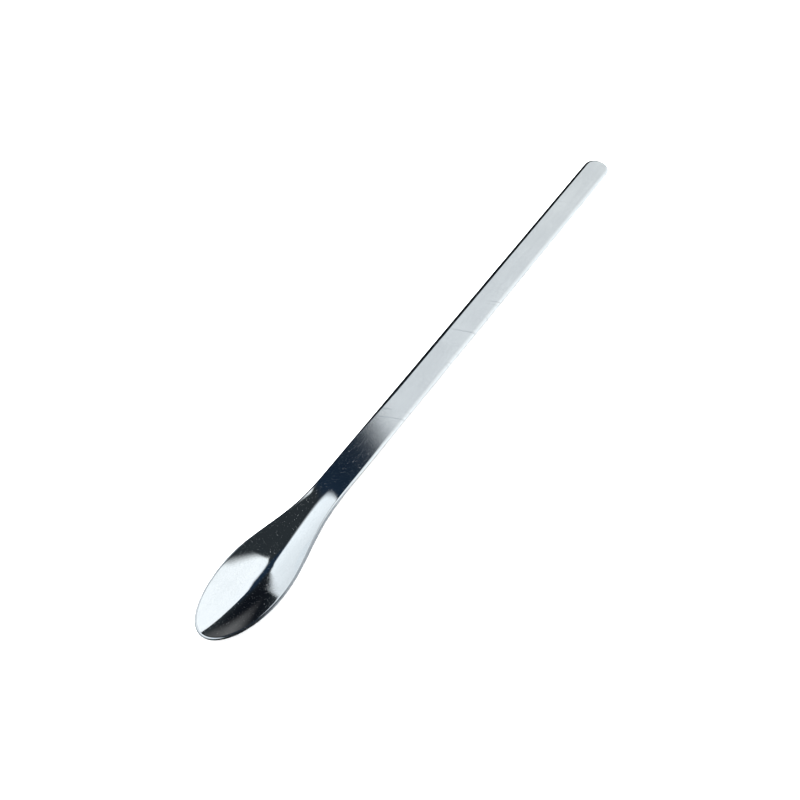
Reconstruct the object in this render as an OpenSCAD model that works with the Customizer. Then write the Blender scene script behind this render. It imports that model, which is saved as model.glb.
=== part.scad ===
// Laboratory spoon spatula, pressed in one piece from stainless steel strip.
// A flat handle with rounded edges runs through a drawn-in neck to a dished, oval bowl.
// It lies as it comes to rest, on the underside of the bowl and the end of the handle.

/* [Overall] */
// Whole length, from the tip of the bowl to the end of the handle
overall_length = 160; // [130:1:220]

/* [Handle] */
// Width of the straight handle
handle_width = 6.4; // [5:0.1:9]
// Thickness of the handle's strip
handle_thickness = 1.1; // [0.8:0.05:2]
// Reach of the rounding, in from each edge of the handle
edge_reach = 0.9; // [0.4:0.05:1.5]
// Length of the handle, next to the neck, over which its edges come to their full rounding
rounding_length = 24; // [10:0.5:40]
// Length over which the handle's end is rounded off
end_length = 3.2; // [2:0.1:4]

/* [Bowl] */
// Width across the widest part of the bowl
bowl_width = 14.2; // [11:0.1:20]
// Thickness of the metal in the bowl, whose rim is rounded to half of it
bowl_thickness = 0.7; // [0.5:0.05:1.3]
// Depth of the hollow below the rim, at its deepest
bowl_depth = 2.9; // [1.5:0.05:4]
// Distance from the tip to the widest part
widest_at = 15.2; // [12:0.1:22]
// Distance from the tip to the deepest part
deepest_at = 20.8; // [15:0.1:28]
// Length of the hollow, from the tip to where the handle is flat
hollow_length = 44; // [36:0.5:60]
// Height of the rim above the middle of the handle's thickness, at the widest part
rim_rise = 0.9; // [0:0.05:2]
// Further height that the rim gains at the tip
tip_rise = 1.05; // [0:0.05:2]

/* [Neck] */
// Length over which the sides draw in from the widest part to the handle
neck_length = 31; // [22:0.5:50]

/* [Hidden] */

// Power of the cosine curve that draws the neck in
neck_power = 3.7;
// Power of the curve that the hollow follows across, from its floor to the rim
side_power = 1.73;
// Power of the curve that the hollow's floor follows up to the tip
tip_power = 1.53;
// Power of the cosine curve that the hollow's floor follows up to the handle
floor_power = 2;
// Power of the round-cornered curve of the handle's end
end_power = 2.3;

// Steps round the tip, along the neck, and along the handle while its edges come to their rounding
tip_steps = 20;
neck_steps = 38;
rounding_steps = 12;
// Steps round the handle's end, across, and round each edge
end_steps = 9;
across_steps = 19;
edge_steps = 8;
// Distance over which slopes are measured
probe = bowl_thickness / 20;

// Distance from the tip to where the bowl and the handle meet, past all that bends or draws in
straight_from = max(widest_at + neck_length, hollow_length) + handle_thickness;

function unit(v) = v / norm(v);
function within(u) = min(1, max(0, u));
function smooth(u) = let (c = within(u)) c * c * (3 - 2 * c);

// Half the width of the outline, x from the tip, as far as the straight handle
function neck_share(x) = pow(cos(90 * within((x - widest_at) / neck_length)), neck_power);
function half_width(x) = x < widest_at
    ? bowl_width / 2 * sqrt(1 - pow(1 - max(x, probe) / widest_at, 2))
    : handle_width / 2 + (bowl_width - handle_width) / 2 * neck_share(x);

// Middle of the sheet: the rim's height less the depth of the hollow, which is a soft vee across
function rim_height(x) =
    rim_rise * smooth((hollow_length - x) / (hollow_length - widest_at))
    + tip_rise * pow(within(1 - x / widest_at), 2);
function floor_share(x) = x < deepest_at
    ? 1 - pow(1 - max(x, probe) / deepest_at, tip_power)
    : pow(cos(90 * within((x - deepest_at) / (hollow_length - deepest_at))), floor_power);
function sheet_height(x, y) =
    rim_height(x) - bowl_depth * floor_share(x) * (1 - pow(abs(y) / half_width(x), side_power));
function sheet_point(x, y) = [x, y, sheet_height(x, y)];

// Slope of the sheet along a direction in plan, and its upward normal
function slope(x, y, way) =
    let (dx = way.x * probe, dy = way.y * probe)
    (sheet_height(x + dx, y + dy) - sheet_height(x - dx, y - dy)) / (2 * probe);
function sheet_normal(x, y) = unit([-slope(x, y, [1, 0]), -slope(x, y, [0, 1]), 1]);

// The bowl is rolled thinner than the handle
function half_thickness(x) =
    let (thickening = smooth((x - widest_at) / (hollow_length - widest_at)))
    (bowl_thickness + (handle_thickness - bowl_thickness) * thickening) / 2;

// The rounding of the bowl's rim runs on along the neck, and then widens to that of the handle
function reach(x) =
    let (widening = smooth((x - straight_from) / rounding_length))
    bowl_thickness / 2 + (edge_reach - bowl_thickness / 2) * widening;

// One side of the outline in plan, from the tip to the handle's end
tip_side = [for (i = [0 : tip_steps - 1])
    let (a = 90 * i / tip_steps)
    [widest_at * (1 - cos(a)), bowl_width / 2 * sin(a)]];
neck_side = [for (i = [0 : neck_steps])
    let (x = widest_at + (straight_from - widest_at) * i / neck_steps)
    [x, half_width(x)]];
rounding_side = [for (i = [1 : rounding_steps])
    [straight_from + rounding_length * i / rounding_steps, handle_width / 2]];
end_side = [for (i = [0 : end_steps])
    let (a = 90 * i / end_steps, x = overall_length - end_length * (1 - pow(sin(a), 2 / end_power)))
    [x, handle_width / 2 * pow(cos(a), 2 / end_power)]];
side = concat(tip_side, neck_side, rounding_side, end_side);
last = len(side) - 1;
meeting = tip_steps + neck_steps;

// Outward direction of the outline at one of its points, square to the run between its neighbours
function mirrored(p) = [p.x, -p.y];
function before(i) = i == 0 ? mirrored(side[1]) : side[i - 1];
function after(i) = i == last ? mirrored(side[last - 1]) : side[i + 1];
function outward(i) = let (run = after(i) - before(i)) unit([-run.y, run.x]);

// Middle of the rounded edge, set in so that the edge itself ends on the outline
function edge_middle(i) = side[i] - outward(i) * reach(side[i].x);

// Section of the sheet at one point of the outline: top, left edge, underside, right edge
function face_points(q, half, up) = [for (j = [0 : across_steps])
    let (y = up * q.y * (2 * j / across_steps - 1))
    sheet_point(q.x, y) + up * half * sheet_normal(q.x, y)];
function edge_points(q, half, rounding, up) =
    let (y = up * q.y, out = unit([rounding.x, up * rounding.y]))
    let (lean = norm(rounding) * unit([out.x, out.y, slope(q.x, y, out)]))
    [for (k = [1 : edge_steps - 1])
        let (a = 180 * k / edge_steps)
        sheet_point(q.x, y) + up * half * cos(a) * sheet_normal(q.x, y) + sin(a) * lean];
function section(i) =
    let (q = edge_middle(i), half = half_thickness(side[i].x), rounding = side[i] - q)
    concat(
        face_points(q, half, 1), edge_points(q, half, rounding, 1),
        face_points(q, half, -1), edge_points(q, half, rounding, -1));
sections = [for (i = [0 : last]) section(i)];

// Numbering of a section's points: the underside starts half way round
underside = across_steps + edge_steps;
around = 2 * underside;
// At the tip and at the handle's end the section has no width, so its points fall together in pairs
function folded(j) = j <= across_steps ? 0
    : j < underside ? j
    : j <= underside + across_steps ? underside
    : around + across_steps - j;
function corner(i, j) = i * around + (i == 0 || i == last ? folded(j % around) : j % around);
function apart(t) = t[0] != t[1] && t[1] != t[2] && t[2] != t[0];
function reversed(t) = [for (k = [len(t) - 1 : -1 : 0]) t[k]];

// Skin between neighbouring sections, and the flat cut across one section
function skin(from, to) = [for (i = [from : to - 1], j = [0 : around - 1])
    let (a = corner(i, j), b = corner(i, j + 1), c = corner(i + 1, j + 1), d = corner(i + 1, j))
    each [for (t = [[a, b, c], [a, c, d]]) if (apart(t)) t]];
function cut(i) = concat(
    [for (j = [0 : across_steps - 1])
        [corner(i, j), corner(i, j + 1),
            corner(i, underside + across_steps - j - 1), corner(i, underside + across_steps - j)]],
    [for (start = [across_steps, underside + across_steps])
        [for (k = [0 : edge_steps]) corner(i, start + k)]]);
points = [for (s = sections) each s];

module bowl() polyhedron(points, concat(skin(0, meeting), cut(meeting)));

module handle() polyhedron(points, concat(skin(meeting, last), [for (t = cut(meeting)) reversed(t)]));

// Tilt of the line from under the handle's end that just touches the bowl from below
handle_foot = [overall_length - edge_reach, -handle_thickness / 2];
rest_tilt = max([for (i = [0 : meeting], p = sections[i])
    atan2(handle_foot[1] - p.z, handle_foot[0] - p.x)]);
lowest = min([for (p = points) p.z * cos(rest_tilt) - p.x * sin(rest_tilt)]);

module spatula()
    color("silver")
        translate([-overall_length / 2, 0, -lowest])
            rotate([0, rest_tilt, 0])
                union() {
                    bowl();
                    handle();
                }

spatula();
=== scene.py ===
"""Laboratory spoon spatula, pressed from stainless steel strip, lying on a white table.

The spatula is one piece: a flat handle, a drawn-in neck and a dished bowl. A Geometry Nodes
tree forms it by the same rule as its solid, with a skin fine enough for mirror reflections.
"""
from functools import partial
from math import atan2, cos, pi, radians, sin

import bpy
from mathutils import Euler, Matrix, Vector


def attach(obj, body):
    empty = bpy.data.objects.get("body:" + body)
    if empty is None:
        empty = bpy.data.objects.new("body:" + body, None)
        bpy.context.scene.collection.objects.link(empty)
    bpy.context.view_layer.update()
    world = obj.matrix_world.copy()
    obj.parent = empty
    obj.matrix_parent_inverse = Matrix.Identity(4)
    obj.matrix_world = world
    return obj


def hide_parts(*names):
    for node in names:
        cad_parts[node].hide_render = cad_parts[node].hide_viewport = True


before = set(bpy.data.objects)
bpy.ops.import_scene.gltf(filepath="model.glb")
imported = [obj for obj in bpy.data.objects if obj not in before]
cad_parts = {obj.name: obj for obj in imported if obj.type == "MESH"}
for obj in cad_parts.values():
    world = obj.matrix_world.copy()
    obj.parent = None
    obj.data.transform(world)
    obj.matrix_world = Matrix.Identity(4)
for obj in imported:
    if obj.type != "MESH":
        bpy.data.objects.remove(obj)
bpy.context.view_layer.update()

MM = 0.001
QUARTER_TURN = pi / 2

# Sizes of the pressed strip, as in the solid: millimetres, with places measured from the tip
LENGTHS = {
    "overall length": 160.0,
    "handle width": 6.4,
    "handle thickness": 1.1,
    "edge reach": 0.9,
    "rounding length": 24.0,
    "end length": 3.2,
    "bowl width": 14.2,
    "bowl thickness": 0.7,
    "bowl depth": 2.9,
    "widest at": 15.2,
    "deepest at": 20.8,
    "hollow length": 44.0,
    "rim rise": 0.9,
    "tip rise": 1.05,
    "neck length": 31.0,
}
# Powers of the curves that the strip is pressed to
POWERS = {
    "neck power": 3.7,
    "side power": 1.73,
    "tip power": 1.53,
    "floor power": 2.0,
    "end power": 2.3,
}
# Slopes of the sheet are measured over the bowl's thickness divided by this
PROBE_DIVISOR = 20.0

# Rows of the skin round the tip, along the neck, along the handle while its edges come to their
# full rounding, along the rest of the handle and round its end
TIP_ROWS, NECK_ROWS, ROUNDING_ROWS, HANDLE_ROWS, END_ROWS = 56, 120, 24, 6, 28
ROWS = TIP_ROWS + NECK_ROWS + ROUNDING_ROWS + HANDLE_ROWS + END_ROWS
# Columns of the skin across each face and round each edge
FACE_COLUMNS, EDGE_COLUMNS = 71, 22
COLUMNS = 2 * (FACE_COLUMNS + EDGE_COLUMNS)
# Points closer than this are one point, where the skin meets itself
WELD_DISTANCE = 0.0005 * MM

# Grain of the buffing, across and in height, drawn coarser than it is so that it shows
GRAIN, GRAIN_HEIGHT = 0.16 * MM, 0.02 * MM
# Clouds in the polish and streaks of the buffing, and the spacing of pits and scratches
CLOUD, STREAK_WIDTH = 7 * MM, 1.4 * MM
PIT_SPACING, SCRATCH_SPACING = 2.1 * MM, 5 * MM
# How far streaks are drawn out along the strip, and scratches across it, at a slant in degrees
STREAK_STRETCH, SCRATCH_STRETCH, SCRATCH_SLANT = 12.5, 16, 20
# Places along the piece between which the polish of the bowl gives way to the handle's satin
SATIN_FROM, SATIN_FULL = -46 * MM, -30 * MM

# Mottle of the table's laminate
MOTTLE = 40 * MM
# Table with its backdrop, in metres, and the steps of its curve and of its rings
FLAT_RADIUS, CURVE_RADIUS, BACKDROP_HEIGHT = 1.0, 0.5, 1.0
CURVE_STEPS, RING_STEPS = 10, 96

# Share of a panel over which its light fades out at a sharp side
SHARP = 0.001

RANGE, VECTOR, NOISE = "ShaderNodeMapRange", "ShaderNodeVectorMath", "ShaderNodeTexNoise"
JOIN, SPLIT, MIX = "ShaderNodeCombineXYZ", "ShaderNodeSeparateXYZ", "ShaderNodeMix"
# Sockets of a Mix node's two colours and of their mixture
FIRST, SECOND, MIXED = 6, 7, 2


def add(tree, kind, *inputs, **settings):
    """Adds a node with its settings and links. A kind in capitals is the operation of a Math node.

    The inputs are values, sockets or nodes: in the node's order, or in a dictionary by name.
    """
    node = tree.nodes.new("ShaderNodeMath" if kind.isupper() else kind)
    if kind.isupper():
        node.operation = kind
    for name, value in settings.items():
        setattr(node, name, value)
    by_name = inputs and isinstance(inputs[0], dict)
    for key, value in inputs[0].items() if by_name else enumerate(inputs):
        if isinstance(value, bpy.types.Node):
            value = value.outputs[0]
        if isinstance(value, bpy.types.NodeSocket):
            tree.links.new(value, node.inputs[key])
        else:
            node.inputs[key].default_value = value
    return node


def linear(code):
    """Turns an sRGB hex colour to linear red, green, blue and alpha."""
    levels = [int(code[i:i + 2], 16) / 255 for i in (1, 3, 5)]
    return (*[c / 12.92 if c <= 0.04045 else ((c + 0.055) / 1.055) ** 2.4 for c in levels], 1.0)


def blank_material(name):
    """New material with no nodes yet, and what adds nodes to it."""
    material = bpy.data.materials.new(name)
    material.use_nodes = True
    material.node_tree.nodes.clear()
    return material, partial(add, material.node_tree)


def new_object(name, data):
    """New object in the scene, at the origin."""
    item = bpy.data.objects.new(name, data)
    bpy.context.scene.collection.objects.link(item)
    return item


def stand(item, rest, place_mm, turns):
    """Places an object from the strip as it lies: along, across and up, with turns in degrees."""
    turned = Euler([radians(turn) for turn in turns]).to_matrix().to_4x4()
    item.matrix_world = rest @ Matrix.Translation(Vector(place_mm) * MM) @ turned


def pressing_tree(steel):
    """Tree that presses a flat grid into the spatula.

    The grid's rows run along the strip, and its columns run round the section: across the top,
    round the left edge, back across the underside and round the right edge.
    """
    tree = bpy.data.node_groups.new("pressing", "GeometryNodeTree")
    for name in (*LENGTHS, *POWERS):
        tree.interface.new_socket(name, in_out="INPUT", socket_type="NodeSocketFloat")
    tree.interface.new_socket("Geometry", in_out="OUTPUT", socket_type="NodeSocketGeometry")
    form = partial(add, tree)
    size = {socket.name: socket for socket in form("NodeGroupInput").outputs}

    widest, hollow, deepest = size["widest at"], size["hollow length"], size["deepest at"]
    neck_end = form("ADD", widest, size["neck length"])
    straight_from = form("ADD", form("MAXIMUM", neck_end, hollow), size["handle thickness"])
    rounded_from = form("ADD", straight_from, size["rounding length"])
    end_from = form("SUBTRACT", size["overall length"], size["end length"])
    half_handle = form("MULTIPLY", size["handle width"], 0.5)
    half_flare = form("MULTIPLY", form("SUBTRACT", size["bowl width"], size["handle width"]), 0.5)
    end_share = form("DIVIDE", 2.0, size["end power"])
    probe = form("DIVIDE", size["bowl thickness"], PROBE_DIVISOR)

    def neck_half(x):
        """Half the width along the neck and handle, drawn in by a power of a cosine."""
        drawing = form("COSINE", form(RANGE, x, widest, neck_end, 0.0, QUARTER_TURN))
        drawn = form("POWER", drawing, size["neck power"])
        return form("MULTIPLY_ADD", drawn, half_flare, half_handle)

    def sheet_height(x, y):
        """Height of the middle of the sheet: the rim's height less the depth of the hollow."""
        x = form("MAXIMUM", x, probe)
        near_tip = form("POWER", form(RANGE, x, 0.0, widest, 1.0, 0.0), 2.0)
        rim = form(RANGE, x, hollow, widest, 0.0, size["rim rise"],
                   interpolation_type="SMOOTHSTEP")
        rim = form("MULTIPLY_ADD", near_tip, size["tip rise"], rim)
        half_width = form("MULTIPLY", neck_half(x), form("SQRT", form("SUBTRACT", 1.0, near_tip)))
        to_rim = form("ABSOLUTE", form("DIVIDE", y, half_width))
        to_tip = form(RANGE, x, 0.0, deepest, 1.0, 0.0)
        to_neck = form("COSINE", form(RANGE, x, deepest, hollow, 0.0, QUARTER_TURN))
        depth = form("MULTIPLY", size["bowl depth"], form("POWER", to_neck, size["floor power"]))
        for distance, power in ((to_tip, "tip power"), (to_rim, "side power")):
            left = form("SUBTRACT", 1.0, form("POWER", distance, size[power]))
            depth = form("MULTIPLY", depth, left)
        return form("SUBTRACT", rim, depth)

    tip_end, bowl_end = TIP_ROWS / ROWS, (TIP_ROWS + NECK_ROWS) / ROWS
    rounding_end, handle_end = bowl_end + ROUNDING_ROWS / ROWS, 1.0 - END_ROWS / ROWS

    def outline(along):
        """Point of the left outline in plan, and past either end its mirror image."""
        tip_turn = form("MINIMUM", form("MULTIPLY", along, QUARTER_TURN / tip_end), QUARTER_TURN)
        end_turn = form(RANGE, along, handle_end, 1.0, 0.0, QUARTER_TURN, clamp=False)
        end_turn = form("MAXIMUM", end_turn, 0.0)
        x = form("MULTIPLY", widest, form("SUBTRACT", 1.0, form("COSINE", tip_turn)))
        for first, last, start, end in ((tip_end, bowl_end, widest, straight_from),
                                        (bowl_end, rounding_end, straight_from, rounded_from),
                                        (rounding_end, handle_end, rounded_from, end_from)):
            x = form("ADD", x, form(RANGE, along, first, last, 0.0, form("SUBTRACT", end, start)))
        rounding = form("POWER", form("SINE", end_turn), end_share)
        x = form("MULTIPLY_ADD", rounding, size["end length"], x)
        narrowing = form("COSINE", end_turn)
        narrowed = form("POWER", form("ABSOLUTE", narrowing), end_share)
        y = form("MULTIPLY", neck_half(x), form("SINE", tip_turn))
        return x, form("MULTIPLY", y, form("MULTIPLY", form("SIGN", narrowing), narrowed))

    grid = form("GeometryNodeMeshGrid", 1.0, 1.0, ROWS + 1, COLUMNS + 1)
    place = form(SPLIT, form("GeometryNodeInputPosition"))
    along = form("ADD", place.outputs["X"], 0.5)
    around = form("ADD", place.outputs["Y"], 0.5)

    # Outward direction in plan, square to the run between the neighbouring rows
    x, y = outline(along)
    ahead_x, ahead_y = outline(form("ADD", along, 1.0 / ROWS))
    behind_x, behind_y = outline(form("SUBTRACT", along, 1.0 / ROWS))
    square = form(JOIN, form("SUBTRACT", behind_y, ahead_y), form("SUBTRACT", ahead_x, behind_x))
    outward = form(SPLIT, form(VECTOR, square, operation="NORMALIZE"))
    out_x, out_y = outward.outputs["X"], outward.outputs["Y"]

    # Half the thickness, and the middle of the rounded edge, set in so that the edge ends on the
    # outline
    half_bowl = form("MULTIPLY", size["bowl thickness"], 0.5)
    half_strip = form("MULTIPLY", size["handle thickness"], 0.5)
    half_thickness, reach = (
        form(RANGE, x, start, end, half_bowl, handle, interpolation_type="SMOOTHSTEP")
        for start, end, handle in ((widest, hollow, half_strip),
                                   (straight_from, rounded_from, size["edge reach"])))
    sheet_x = form("SUBTRACT", x, form("MULTIPLY", out_x, reach))
    edge_y = form("SUBTRACT", y, form("MULTIPLY", out_y, reach))

    # Place across the sheet, from -1 at the right edge to 1 at the left, and turn round the edges
    face = FACE_COLUMNS / COLUMNS
    leftward = form(RANGE, around, 0.0, face, -1.0, 1.0)
    across = form("SUBTRACT", leftward, form(RANGE, around, 0.5, 0.5 + face, 0.0, 2.0))
    left_turn = form(RANGE, around, face, 0.5, 0.0, pi)
    turn = form("ADD", left_turn, form(RANGE, around, 0.5 + face, 1.0, 0.0, pi))
    edge = form("ABSOLUTE", form("SINE", turn))
    sheet_y = form("MULTIPLY", edge_y, across)

    # Slopes of the sheet, its upward direction and the direction that its edge faces
    slopes = []
    for step_x, step_y in ((probe, 0.0), (0.0, probe)):
        heights = [sheet_height(form(way, sheet_x, step_x), form(way, sheet_y, step_y))
                   for way in ("ADD", "SUBTRACT")]
        slopes.append(form("DIVIDE", form("SUBTRACT", *heights), form("MULTIPLY", probe, 2.0)))
    slope_x, slope_y = slopes
    steepest = form(JOIN, form("MULTIPLY", slope_x, -1.0), form("MULTIPLY", slope_y, -1.0), 1.0)
    up = form(VECTOR, steepest, operation="NORMALIZE")
    side_y = form("MULTIPLY", form("SIGN", across), out_y)
    rise = form("MULTIPLY_ADD", slope_x, out_x, form("MULTIPLY", slope_y, side_y))
    lean = form(VECTOR, form(JOIN, out_x, side_y, rise), operation="NORMALIZE")

    # The skin stands half the thickness off the middle of the sheet, and at the edge the reach
    off_up = form("MULTIPLY", half_thickness, form("COSINE", turn))
    off_out = form("MULTIPLY", reach, edge)
    upward = form(VECTOR, {0: up, "Scale": off_up}, operation="SCALE")
    sideways = form(VECTOR, {0: lean, "Scale": off_out}, operation="SCALE")
    off = form(VECTOR, upward, sideways, operation="ADD")
    middle = form(JOIN, sheet_x, sheet_y, sheet_height(sheet_x, sheet_y))

    # The steel's finish reads where the edge is
    skin = form("GeometryNodeStoreNamedAttribute", {
        "Geometry": grid, "Name": "edge", "Value": edge})
    skin = form("GeometryNodeSetPosition", {
        "Geometry": skin, "Position": form(VECTOR, middle, off, operation="ADD")})
    skin = form("GeometryNodeMergeByDistance", {"Geometry": skin, "Distance": WELD_DISTANCE})
    skin = form("GeometryNodeSetShadeSmooth", {"Geometry": skin, "Shade Smooth": True})
    skin = form("GeometryNodeRealizeInstances", {"Geometry": skin})
    skin = form("GeometryNodeSetMaterial", {"Geometry": skin, "Material": steel})
    form("NodeGroupOutput", {"Geometry": skin})
    return tree


def buffed_steel():
    """Stainless steel, pressed and buffed: mirror reflections with a fine grain and specks in them.

    The bowl is polished smoother than the satin handle, and the handle's face has a darker colour
    that paints shade into its reflection. The rounded edges are only tumbled, so they are rougher,
    and on the bowl a grey colour there paints the shade that they mirror, outlining the piece in
    grey. Pinprick pits and hair scratches come from use.
    """
    material, look = blank_material("stainless steel, pressed and buffed")
    spot = look("ShaderNodeTexCoord").outputs["Object"]
    along = look(SPLIT, spot).outputs["X"]
    edge = look("ShaderNodeAttribute", attribute_name="edge").outputs["Fac"]

    # Shares of the finishes: satin handle; its face without the edges, whose darker colour is
    # painted shade; and the bowl's edge, rougher from tumbling and painted grey as shade along the
    # outline
    satin = look(RANGE, along, SATIN_FROM, SATIN_FULL, 0.0, 1.0, interpolation_type="SMOOTHSTEP")
    satin_and_shaded_face = look(RANGE, edge, 0.1, 0.85, satin, 0.0)
    bright = look("SUBTRACT", 1.0, satin)
    dull_and_shaded_edge = look(RANGE, edge, 0.5, 0.9, 0.0, bright, interpolation_type="SMOOTHSTEP")

    # Clouds, grain with its coarsest specks, and streaks
    cloud = look(NOISE, {"Vector": spot, "Scale": 1 / CLOUD, "Detail": 4.0})
    grain = look(NOISE, {"Vector": spot, "Scale": 1 / GRAIN, "Detail": 1.0})
    speck = look(RANGE, grain, 0.69, 0.79, 0.0, 1.0)
    drawn = look(VECTOR, spot, (1 / STREAK_STRETCH, 1.0, 1.0), operation="MULTIPLY")
    streak = look(NOISE, {"Vector": drawn, "Scale": 1 / STREAK_WIDTH, "Detail": 3.0})

    # About one cell in four holds a pit
    pits = look("ShaderNodeTexVoronoi", {"Vector": spot, "Scale": 1 / PIT_SPACING},
                voronoi_dimensions="2D")
    pit = look(RANGE, pits.outputs["Distance"], 0.02, 0.05, 1.0, 0.0)
    pit = look("MULTIPLY", pit, look("GREATER_THAN", pits.outputs["Color"], 0.75))

    # Scratches follow the level lines of a drawn-out noise, on the handle and only in some clouds
    slant = look("ShaderNodeMapping", {
        "Vector": spot, "Rotation": (0, 0, radians(SCRATCH_SLANT)),
        "Scale": (1, SCRATCH_STRETCH, SCRATCH_STRETCH)}, vector_type="TEXTURE")
    waves = look(NOISE, {"Vector": slant, "Scale": 1 / SCRATCH_SPACING, "Detail": 2.0})
    hair = look(RANGE, look("ABSOLUTE", look("SUBTRACT", waves, 0.5)), 0.0, 0.012, 1.0, 0.0)
    scratch = look("MULTIPLY", hair, look(RANGE, cloud, 0.54, 0.64, 0.0, 0.4))
    scratch = look("MULTIPLY", scratch, satin)

    tone = look("MULTIPLY_ADD", streak, 0.4, look("MULTIPLY", cloud, 0.6))
    sand = look(RANGE, grain, 0.44, 0.56, -0.5, 0.5)
    tone = look("ADD", look(RANGE, tone, 0.35, 0.65, 0.0, 1.0), sand)
    # The second pair is the colour of the handle's face: darker, as painted shade in its reflection
    colour, satin_and_shade_colour = (
        look(MIX, {"Factor": tone, FIRST: linear(darker), SECOND: linear(lighter)},
             data_type="RGBA").outputs[MIXED]
        for darker, lighter in (("#E0E3E4", "#EBEDEE"), ("#BEC0C1", "#CACCCC")))
    # The bowl's outer edge takes a grey that paints shade along the outline; scratches are real
    # marks
    for share, other in ((satin_and_shaded_face, satin_and_shade_colour), (dull_and_shaded_edge, linear("#969B9F")),
                         (scratch, linear("#8E9295"))):
        colour = look(MIX, {"Factor": share, FIRST: colour, SECOND: other},
                      data_type="RGBA").outputs[MIXED]
    roughness = 0.03
    for share, added in ((satin, 0.04), (speck, 0.45), (dull_and_shaded_edge, 0.2), (pit, 0.4)):
        roughness = look("MULTIPLY_ADD", share, added, roughness)
    relief = look("MULTIPLY", grain, look(RANGE, satin, 0.0, 1.0, 0.4, 0.7))
    bump = look("ShaderNodeBump", {"Strength": 0.2, "Distance": GRAIN_HEIGHT, "Height": relief})
    shader = look("ShaderNodeBsdfPrincipled", {
        "Base Color": colour, "Metallic": 1.0, "Roughness": roughness, "Normal": bump})
    look("ShaderNodeOutputMaterial", {"Surface": shader})
    return material


def lying(mesh):
    """Turn and lift that lay the strip on the underside of its bowl and the end of its handle."""
    length = LENGTHS["overall length"] * MM
    foot = Vector((length - LENGTHS["edge reach"] * MM, 0, -LENGTHS["handle thickness"] * MM / 2))
    points = [vertex.co for vertex in mesh.vertices]
    tilt = max(atan2(foot.z - p.z, foot.x - p.x) for p in points if p.x < length / 2)
    turned = Matrix.Rotation(tilt, 4, "Y")
    lowest = min((turned @ p).z for p in points)
    return Matrix.Translation((-length / 2, 0, -lowest)) @ turned


def pressed_spatula():
    """The whole spatula as a plain mesh, laid at rest, and how it was turned and lifted."""
    tree = pressing_tree(buffed_steel())
    piece = new_object("spatula_skin", bpy.data.meshes.new("blank"))
    press = piece.modifiers.new("pressing", "NODES")
    press.node_group = tree
    values = {**{name: length * MM for name, length in LENGTHS.items()}, **POWERS}
    for socket in tree.interface.items_tree:
        if socket.in_out == "INPUT":
            press[socket.identifier] = values[socket.name]
    pressed = piece.evaluated_get(bpy.context.evaluated_depsgraph_get())
    mesh = bpy.data.meshes.new_from_object(pressed)
    piece.modifiers.remove(press)
    rest = lying(mesh)
    mesh.transform(rest)
    piece.data = mesh
    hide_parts("spatula")
    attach(piece, "root")
    return rest


def white_laminate():
    """Laminate, matt white: an even white with a faint mottle."""
    material, look = blank_material("laminate, matt white")
    spot = look("ShaderNodeTexCoord").outputs["Object"]
    mottle = look(NOISE, {"Vector": spot, "Scale": 1 / MOTTLE, "Detail": 2.0})
    colour = look(MIX, {"Factor": mottle, FIRST: linear("#F4F4F4"), SECOND: linear("#F8F8F8")},
                  data_type="RGBA").outputs[MIXED]
    shader = look("ShaderNodeBsdfPrincipled", {"Base Color": colour, "Roughness": 0.7})
    look("ShaderNodeOutputMaterial", {"Surface": shader})
    return material


def white_table():
    """Round table that curves up all round as a backdrop. The steel doesn't mirror it."""
    # Radius and height of its rings, from the flat middle up the curve to the top
    curve = [QUARTER_TURN * step / CURVE_STEPS for step in range(CURVE_STEPS + 1)]
    rings = [(FLAT_RADIUS + CURVE_RADIUS * sin(turn), CURVE_RADIUS * (1 - cos(turn)))
             for turn in curve]
    rings.append((FLAT_RADIUS + CURVE_RADIUS, BACKDROP_HEIGHT))
    turns = [2 * pi * step / RING_STEPS for step in range(RING_STEPS)]
    points = [(radius * cos(turn), radius * sin(turn), height)
              for radius, height in rings for turn in turns]
    faces = [range(RING_STEPS)]
    for ring in range(len(rings) - 1):
        inner, outer = ring * RING_STEPS, (ring + 1) * RING_STEPS
        for here in range(RING_STEPS):
            after = (here + 1) % RING_STEPS
            faces.append((inner + here, outer + here, outer + after, inner + after))
    mesh = bpy.data.meshes.new("table")
    mesh.from_pydata(points, [], faces)
    mesh.shade_smooth()
    mesh.materials.append(white_laminate())
    table = new_object("table", mesh)
    table.visible_glossy = False


def photo_camera(rest):
    """Camera at the photograph's place, with its heading from the strip and its look down."""
    heading, drop = 56.36, 53.0
    focal_length_px, image_width_px = 1103.0, 800
    data = bpy.data.cameras.new("camera")
    data.lens = data.sensor_width * focal_length_px / image_width_px
    data.clip_start = 10 * MM
    camera = new_object("camera", data)
    stand(camera, rest, (-52.74, -79.04, 191.04), (90 - drop, 0, -heading))
    bpy.context.scene.camera = camera


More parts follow.
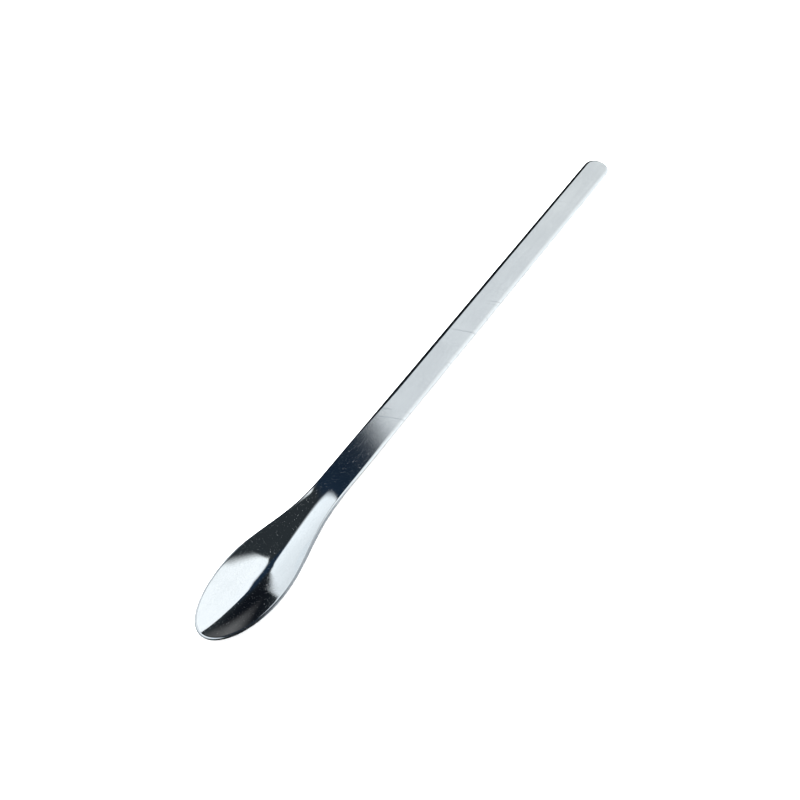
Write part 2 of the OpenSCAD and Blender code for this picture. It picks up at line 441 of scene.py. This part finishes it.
def panel_light(rest, name, place_mm, turns, size_mm, brightness, colour, fades=(SHARP,) * 4,
                mirrored=True):
    """Soft panel of light, with its brightness at its lower and upper ends.

    The fades are the shares of it over which its light fades out: left, right, low and high. A
    mirrored panel shows in the steel alone, and another one lights the table alone.
    """
    light = bpy.data.lights.new(name, "AREA")
    light.shape = "RECTANGLE"
    light.size, light.size_y = (side * MM for side in size_mm)
    light.energy = pi * light.size * light.size_y
    light.color = linear(colour)[:3]
    light.use_nodes = True
    tree = light.node_tree
    look = partial(add, tree)
    spot = look(SPLIT, look("ShaderNodeNewGeometry").outputs["Parametric"])
    across, up = spot.outputs["X"], spot.outputs["Y"]
    strength = look(RANGE, up, 0.0, 1.0, *brightness)
    inward = (across, look("SUBTRACT", 1.0, across), up, look("SUBTRACT", 1.0, up))
    for share, fade in zip(inward, fades):
        left = look(RANGE, share, 0.0, fade, 0.0, 1.0, interpolation_type="SMOOTHSTEP")
        strength = look("MULTIPLY", strength, left)
    tree.links.new(strength.outputs[0], tree.nodes["Emission"].inputs["Strength"])
    panel = new_object(name, light)
    stand(panel, rest, place_mm, turns)
    panel.visible_camera = False
    panel.visible_glossy = mirrored
    panel.visible_diffuse = not mirrored


def dim_room():
    """Dark room that the steel mirrors between the panels.

    It is a charcoal with a bluish patch above the handle, and it is darkest low on the left.
    """
    world = bpy.data.worlds.new("dim room")
    world.use_nodes = True
    tree = world.node_tree
    look = partial(add, tree)
    way = look("ShaderNodeTexCoord").outputs["Generated"]
    colour = linear("#2D3337")
    # Each patch: the way to its middle, the angles from there at which it starts to fade and is
    # gone, and its colour
    for middle, full, gone, code in (((0.425, 0.340, 0.839), 8, 20, "#1E2E40"),
                                     ((0.558, 0.705, 0.438), 8, 24, "#12161C")):
        facing = look(VECTOR, way, middle, operation="DOT_PRODUCT").outputs["Value"]
        share = look(RANGE, facing, cos(radians(gone)), cos(radians(full)), 0.0, 1.0,
                     interpolation_type="SMOOTHSTEP")
        colour = look(MIX, {"Factor": share, FIRST: colour, SECOND: linear(code)},
                      data_type="RGBA").outputs[MIXED]
    tree.links.new(colour, tree.nodes["Background"].inputs["Color"])
    bpy.context.scene.world = world


rest = pressed_spatula()
white_table()
photo_camera(rest)

# The steel mirrors a panel on the right, one on the left and a dim card beyond the tip
panel_light(rest, "right_panel", place_mm=(180, -84, 205), turns=(-96.9, -29.1, -109.5),
            size_mm=(359, 868), brightness=(1.18, 1.18), colour="#F6FBFE",
            fades=(SHARP, 0.19, 0.13, SHARP))
panel_light(rest, "left_panel", place_mm=(81, 249, 51), turns=(-63.5, -27.6, 54.3),
            size_mm=(560, 503), brightness=(1.23, 0.82), colour="#F3FAFF",
            fades=(SHARP, 0.065, 0.13, SHARP))
panel_light(rest, "tip_card", place_mm=(87, 67, 53.5), turns=(60.9, 24.7, 122.0),
            size_mm=(74, 22), brightness=(0.17, 0.17), colour="#FFFFFF", fades=(0.4,) * 4)
# The overhead panel lights the table
panel_light(rest, "table_fill", place_mm=(80, 0, 1200), turns=(0, 0, 0),
            size_mm=(1800, 1800), brightness=(7.2, 7.2), colour="#FFFFFF", mirrored=False)
dim_room()
bpy.context.scene.view_settings.view_transform = "Standard"
